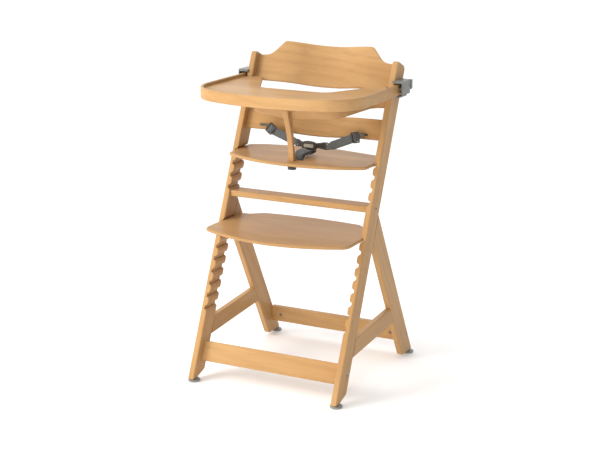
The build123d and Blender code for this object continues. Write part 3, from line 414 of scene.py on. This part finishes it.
def ribbon(name, rows, width, thick, material):
    """Strap along rows of (middle, side direction) or (middle, side direction, share of the
    width), with rounded edges and a UV map."""
    line = smooth_line([(Vector(point), Vector(side).normalized(), *(share or [1.0]))
                        for point, side, *share in rows])
    half, deep = width / 2, thick / 2
    flat = half - EDGE_ROUNDING * thick
    section = [(-half, 0.0), (-flat, -deep)]
    section += [(half * share, -deep) for share in (-0.5, 0, 0.5)]
    section += [(flat, -deep), (half, 0.0), (flat, deep)]
    section += [(half * share, deep) for share in (0.5, 0, -0.5)]
    section += [(-flat, deep)]
    points, reach, runs = [], 0.0, []
    for i, (middle, side, share) in enumerate(line):
        ahead = (line[min(i + 1, len(line) - 1)][0] - line[max(i - 1, 0)][0]).normalized()
        side = (side - ahead * side.dot(ahead)).normalized()
        normal = side.cross(ahead)
        if i:
            reach += (middle - line[i - 1][0]).length
        runs.append(reach)
        points += [middle + side * across * share + normal * out for across, out in section]
    count = len(section)
    faces, spots = [], []
    for i in range(len(line) - 1):
        for j in range(count):
            k = (j + 1) % count
            faces.append((i * count + j, i * count + k, (i + 1) * count + k,
                          (i + 1) * count + j))
            spots += [(runs[i], section[j][0]), (runs[i], section[k][0]),
                      (runs[i + 1], section[k][0]), (runs[i + 1], section[j][0])]
    last = (len(line) - 1) * count
    faces += [tuple(reversed(range(count))), tuple(range(last, last + count))]
    spots += [(runs[0], section[j][0]) for j in reversed(range(count))]
    spots += [(runs[-1], section[j][0]) for j in range(count)]
    mesh = bpy.data.meshes.new(name)
    mesh.from_pydata(points, [], faces)
    layer = mesh.uv_layers.new(name="UVMap")
    for loop, spot in enumerate(spots):
        layer.data[loop].uv = spot
    return piece(name, mesh, material, ROUND_CREASE)


def plate(name, outline, holes, thick, bevel, place, material):
    """Flat moulded piece with holes and rounded edges.  Lines are in millimetres."""
    curve = bpy.data.curves.new(name, "CURVE")
    curve.dimensions = "2D"
    curve.fill_mode = "BOTH"
    curve.extrude = thick / 2000 - bevel / 1000
    curve.bevel_depth = bevel / 1000
    curve.bevel_resolution = 3
    curve.offset = -bevel / 1000
    for line in [outline, *holes]:
        spline = curve.splines.new("POLY")
        spline.points.add(len(line) - 1)
        for point, (x, y) in zip(spline.points, line):
            point.co = (x / 1000, y / 1000, 0, 1)
        spline.use_cyclic_u = True
    pattern = bpy.data.objects.new(name + "_pattern", curve)
    mesh = bpy.data.meshes.new_from_object(pattern)
    bpy.data.objects.remove(pattern)
    shell = bmesh.new()
    shell.from_mesh(mesh)
    bmesh.ops.remove_doubles(shell, verts=shell.verts, dist=MERGE)
    bmesh.ops.transform(shell, matrix=place, verts=shell.verts)
    bmesh.ops.recalc_face_normals(shell, faces=shell.faces)
    shell.to_mesh(mesh)
    shell.free()
    mesh.materials.clear()
    return piece(name, mesh, material, PLATE_CREASE)


def rounded(width, height, radius, centre=(0, 0)):
    """Closed line round a rectangle with rounded corners."""
    line = []
    for quarter, (sx, sy) in enumerate(((1, 1), (-1, 1), (-1, -1), (1, -1))):
        for step in range(CORNER_STEPS + 1):
            angle = math.radians(90 * (quarter + step / CORNER_STEPS))
            line.append((centre[0] + sx * (width / 2 - radius) + radius * math.cos(angle),
                         centre[1] + sy * (height / 2 - radius) + radius * math.sin(angle)))
    return line


def lobe(half_width, half_height):
    """Closed superellipse whose upper right part droops."""
    power, droop = 3.2, 0.16
    line = []
    for step in range(LOBE_STEPS):
        angle = 2 * math.pi * step / LOBE_STEPS
        x, y = math.cos(angle), math.sin(angle)
        across = math.copysign(abs(x) ** (2 / power), x)
        height = math.copysign(abs(y) ** (2 / power), y)
        if height > 0:
            height *= 1 - droop * max(0.0, across)
        line.append((half_width * across, half_height * height))
    return line


def facing_front(x, behind, z, turn=0.0):
    """Matrix that stands a flat piece up, facing the front, turned in its own plane."""
    return (Matrix.Translation(at(x, behind, z)) @ Matrix.Rotation(math.radians(90), 4, "X")
            @ Matrix.Rotation(math.radians(turn), 4, "Z"))


def joined(name, parts):
    """One object from several."""
    whole = bmesh.new()
    for part in parts:
        whole.from_mesh(part.data)
    mesh = bpy.data.meshes.new(name)
    whole.to_mesh(mesh)
    whole.free()
    material = parts[0].data.materials[0]
    for part in parts:
        bpy.data.objects.remove(part)
    return piece(name, mesh, material, PLATE_CREASE)


def tube(name, points, radius, material, around=8):
    """Round wire through points."""
    verts, faces = [], []
    side = None
    for i, point in enumerate(points):
        ahead = (points[min(i + 1, len(points) - 1)] - points[max(i - 1, 0)]).normalized()
        if side is None:
            side = ahead.orthogonal().normalized()
        else:
            side = (side - ahead * side.dot(ahead)).normalized()
        third = ahead.cross(side)
        verts += [point + radius * (side * math.cos(a) + third * math.sin(a))
                  for a in (2 * math.pi * j / around for j in range(around))]
    for i in range(len(points) - 1):
        for j in range(around):
            k = (j + 1) % around
            faces.append((i * around + j, i * around + k, (i + 1) * around + k,
                          (i + 1) * around + j))
    last = (len(points) - 1) * around
    faces += [tuple(reversed(range(around))), tuple(range(last, last + around))]
    mesh = bpy.data.meshes.new(name)
    mesh.from_pydata(verts, [], faces)
    return piece(name, mesh, material, ROUND_CREASE)


def stitches(name, rows, material):
    """Short thread stitches along straight runs (start, end, outward)."""
    stitch, gap, rise, thread_r = 0.0028, 0.12, 0.00035, 0.00028
    threads = []
    for start, end, outward in rows:
        count = max(2, round((end - start).length / stitch))
        step = (end - start) / count
        for i in range(count):
            low = start + step * (i + gap)
            high = start + step * (i + 1 - gap)
            middle = (low + high) / 2 + outward * rise
            threads.append(tube("thread", [low, middle, high], thread_r, material, 6))
    return joined(name, threads)


# ---- harness -------------------------------------------------------------------------------
STRAP_W, STRAP_T = 0.024, 0.0016
SLOT_UP, SLOT_X = 756.8, 155   # the waist straps' slots, up the backrest's slope and outward
FLAT = (1, 0, 0)
# All in millimetres.  slide: x, z, turn of the strap there and turn of the slide.  slot_to: first
# point of the strap in front of its slot.  run: x and z along the strap.  bar: x and z of the
# tongue's bar.  tongue: x, z, length and turn.
WAIST = {
    "left": {"slide": (-116, 683.5, -37, -37), "slot_to": (-133, 298, 689),
             "run": [(-101, 675), (-65, 662), (-50, 656.6)], "bar": (-36.5, 651.6),
             "tongue": (-27, 649.4, 21, -12)},
    "right": {"slide": (145.5, 681.7, 20, 10), "slot_to": (158.5, 300, 687.4),
              "run": [(128, 674), (98, 661.5), (76, 652.4)], "bar": (63.5, 647.2),
              "tongue": (46.5, 648.5, 36, 2)},
}
RUN_BACK = 290.4               # how far behind the front the straps run to the buckle
SEAM_HALF = 7.5                # half the length of a seam across the strap


def waist_strap(side):
    """Strap from its fold behind the lower backrest, over the slide's bar, to the tongue."""
    facts = WAIST[side]
    inward = 1 if side == "left" else -1
    rows = [(in_board(-inward * SLOT_X, SLOT_UP + up, behind), FLAT) for up, behind in (
        (3.4, 41), (-2.6, 41.2), (-3.2, 38.2), (2.6, 38.2), (3.0, 35.6), (0.4, 34.4), (0, 27),
        (0, 19.5))]
    rows.append((at(*facts["slot_to"]), FLAT, 0.5))
    x, z, turn, _ = facts["slide"]
    run_x, run_z = inward * math.cos(math.radians(turn)), inward * math.sin(math.radians(turn))
    for reach, behind, share in ((-11.5, 292.6, 0.6), (-6, 290.2, 1), (0, 287.9, 1),
                                 (6, 290.2, 1), (11.5, 292.6, 1)):
        rows.append((at(x + run_x * reach, behind, z + run_z * reach), (-run_z, 0, run_x), share))
    bar = Vector(facts["bar"])
    ahead = (bar - Vector(facts["run"][0])).normalized()
    square = Vector((-ahead.y, ahead.x))
    lie = (square.x, 0, square.y)
    rows += [(at(path_x, RUN_BACK, path_z), lie) for path_x, path_z in facts["run"]]
    for reach, behind, share in ((-6, 288.6, 0.75), (2.2, 288.5, 0.65), (4.3, 290.9, 0.65),
                                 (2.2, 293.3, 0.65), (-6, 293.3, 0.75), (-20, 292.6, 0.95)):
        spot = bar + ahead * reach
        rows.append((at(spot.x, behind, spot.y), lie, share))
    strap = ribbon(f"{side}_waist_webbing", rows, STRAP_W, STRAP_T, WEBBING)
    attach(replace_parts(strap, f"{side}_waist_strap"), "chair_frame")
    seams = []
    for reach, behind in ((-10, 288.6), (-18, 289.6)):
        middle = bar + ahead * reach
        low, high = middle - square * SEAM_HALF, middle + square * SEAM_HALF
        seams.append((at(low.x, behind, low.y), at(high.x, behind, high.y), Vector((0, -1, 0))))
    seam = stitches(f"{side}_strap_seam", seams, THREAD)
    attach(seam, "chair_frame")


def strap_slide(side):
    """Rounded frame in front of the strap and a bar behind it.  The right one also has a bar in
    front."""
    x, z, _, turn = WAIST[side]["slide"]
    parts = [
        plate("ring", rounded(24, 31.5, 4.5), [rounded(16.6, 25, 2)], 4.2, 1.1,
              facing_front(x, 288.9, z, turn), BUCKLE_DARK),
        plate("bar", rounded(4.6, 29, 1.6), [], 2.6, 0.8,
              facing_front(x, 290.5, z, turn), BUCKLE_DARK)]
    if side == "right":
        parts.append(plate("front_bar", rounded(9.5, 28, 2), [], 1.8, 0.7,
                           facing_front(x, 286.0, z, turn), BUCKLE_DARK))
    slide = joined(f"{side}_strap_slide", parts)
    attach(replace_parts(slide, f"{side}_strap_adjuster"), "chair_frame")


def tongue(side):
    """Tongue with a slot for the strap, widest near the slot.  The right one reaches further out
    of the buckle and shows its blind windows."""
    x, z, length, turn = WAIST[side]["tongue"]
    outward = -1 if side == "left" else 1
    end = outward * (length / 2)
    outline = [(outward * share * length, height) for share, height in (
        (-0.5, 7.2), (-0.2, 8.2), (0.05, 10.2), (0.36, 10.8), (0.46, 9.8), (0.5, 7.6))]
    outline += [(across, -height) for across, height in reversed(outline)]
    holes = [rounded(2.6, 15.4, 1.1, (end - outward * 5.2, 0))]
    floors = []
    if side == "right":
        holes += [rounded(4.8, 4.6, 1.2, (end - outward * 13.0, offset_z))
                  for offset_z in (-4.2, 4.2)]
        holes += [rounded(4.0, 8, 1.2, (end - outward * 20.5, 0))]
        floors += [plate("floor", rounded(15.5, 16, 3, (end - outward * 17.0, 0)), [], 1.4,
                         0.4, facing_front(x, 292.2, z, turn), BUCKLE_DARK)]
    blade = plate("blade", outline, holes, 3.2, 0.9, facing_front(x, 290.9, z, turn), BUCKLE_DARK)
    blade = joined(f"{side}_tongue_blade", [blade, *floors])
    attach(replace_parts(blade, f"{side}_buckle_tongue"), "chair_frame")


for side in WAIST:
    waist_strap(side)
    strap_slide(side)
    tongue(side)

BUCKLE_X, BUCKLE_Z = 5.5, 645.6
opening = rounded(30.6, 11.6, 3, (-0.5, 0.4))
face = plate("face", lobe(23.4, 13.4), [opening], 5.6, 1.8,
             facing_front(BUCKLE_X, 287.9, BUCKLE_Z), BUCKLE_DARK)
lip = plate("lip", rounded(35, 16, 4, (-0.5, 0.4)), [opening], 2.0, 0.7,
            facing_front(BUCKLE_X, 285.2, BUCKLE_Z), BUCKLE_DARK)
rear = plate("rear", lobe(22, 12.4), [], 6.0, 1.6,
             facing_front(BUCKLE_X, 293.6, BUCKLE_Z), BUCKLE_DARK)
foot = plate("foot", rounded(31, 9, 3), [rounded(27, 3.4, 1.2, (0, -0.8))], 3.4, 0.9,
             facing_front(BUCKLE_X + 4, 292.4, BUCKLE_Z - 13.8), BUCKLE_DARK)
buckle = joined("buckle_shell", [face, lip, rear, foot])
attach(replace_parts(buckle, "buckle_body"), "chair_frame")

# The crotch strap comes up behind the post, goes back and round the foot of the buckle, and
# returns.  It is rolled a little to one side between the two.
CROTCH_X = 8
ROLLED, LESS_ROLLED = (1, 0, -0.35), (1, 0, -0.15)
crotch_rows = [(at(CROTCH_X, behind, z), side) for behind, z, side in (
    (209.5, 605.6, FLAT), (221.5, 605.2, FLAT), (223.2, 608.2, FLAT), (216.6, 608.6, FLAT),
    (216, 613, FLAT), (216, 622, FLAT), (217.8, 632, FLAT), (226.5, 638.0, ROLLED),
    (246, 639.2, ROLLED), (266, 638.4, ROLLED), (280, 635.4, LESS_ROLLED),
    (287, 632.4, FLAT), (292.4, 631.2, FLAT), (297, 629.6, FLAT), (298, 627.0, FLAT),
    (294.6, 625.6, FLAT), (288, 625.9, FLAT), (275, 628.4, ROLLED), (258, 631.0, ROLLED),
    (240, 631.6, ROLLED), (228.5, 627.6, ROLLED), (221.6, 620, FLAT), (218.8, 611.5, FLAT))]
crotch = ribbon("crotch_webbing", crotch_rows, STRAP_W, STRAP_T, WEBBING)
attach(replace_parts(crotch, "crotch_strap"), "chair_frame")


# ---- lever springs -------------------------------------------------------------------------
PIN_X, PIN_BACK = 247.8, 385.0
COIL_LOW = 800.7               # height of the coil's first turn, in the lever's pocket
COIL_TURNS, COIL_PITCH, COIL_R, COIL_STEPS = 4.5, 1.05, 2.45, 120
WIRE_R = 0.00045               # metres
LOW_ARM, HIGH_ARM = 0.008, 0.007               # length of the coil's straight ends, in metres
for side, sign in (("left", -1), ("right", 1)):
    coil = [at(sign * PIN_X + COIL_R * math.cos(a), PIN_BACK + COIL_R * math.sin(a),
               COIL_LOW + COIL_PITCH * a / (2 * math.pi))
            for a in (2 * math.pi * COIL_TURNS * step / COIL_STEPS
                      for step in range(COIL_STEPS + 1))]
    arms = [coil[0] - Vector((0, LOW_ARM, 0)), coil[-1] - Vector((0, HIGH_ARM, 0))]
    spring = tube(f"{side}_coil", [arms[0], *coil, arms[1]], WIRE_R, SPRING_STEEL)
    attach(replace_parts(spring, f"{side}_lever_spring"), "chair_frame")


# ---- floor ---------------------------------------------------------------------------------
FLOOR_ALBEDO, FLOOR_ROUGHNESS, FLOOR_SPECULAR, FLOOR_SIZE = 0.97, 0.9, 0.1, 40
floor_nodes = Nodes("floor")
floor_nodes.shader.inputs["Base Color"].default_value = (*grey(FLOOR_ALBEDO), 1)
floor_nodes.shader.inputs["Roughness"].default_value = FLOOR_ROUGHNESS
floor_nodes.shader.inputs["Specular IOR Level"].default_value = FLOOR_SPECULAR
bpy.ops.mesh.primitive_plane_add(size=FLOOR_SIZE, location=(0, 0, 0))
floor = bpy.context.object
floor.name = "floor"
floor.data.materials.append(floor_nodes.material)
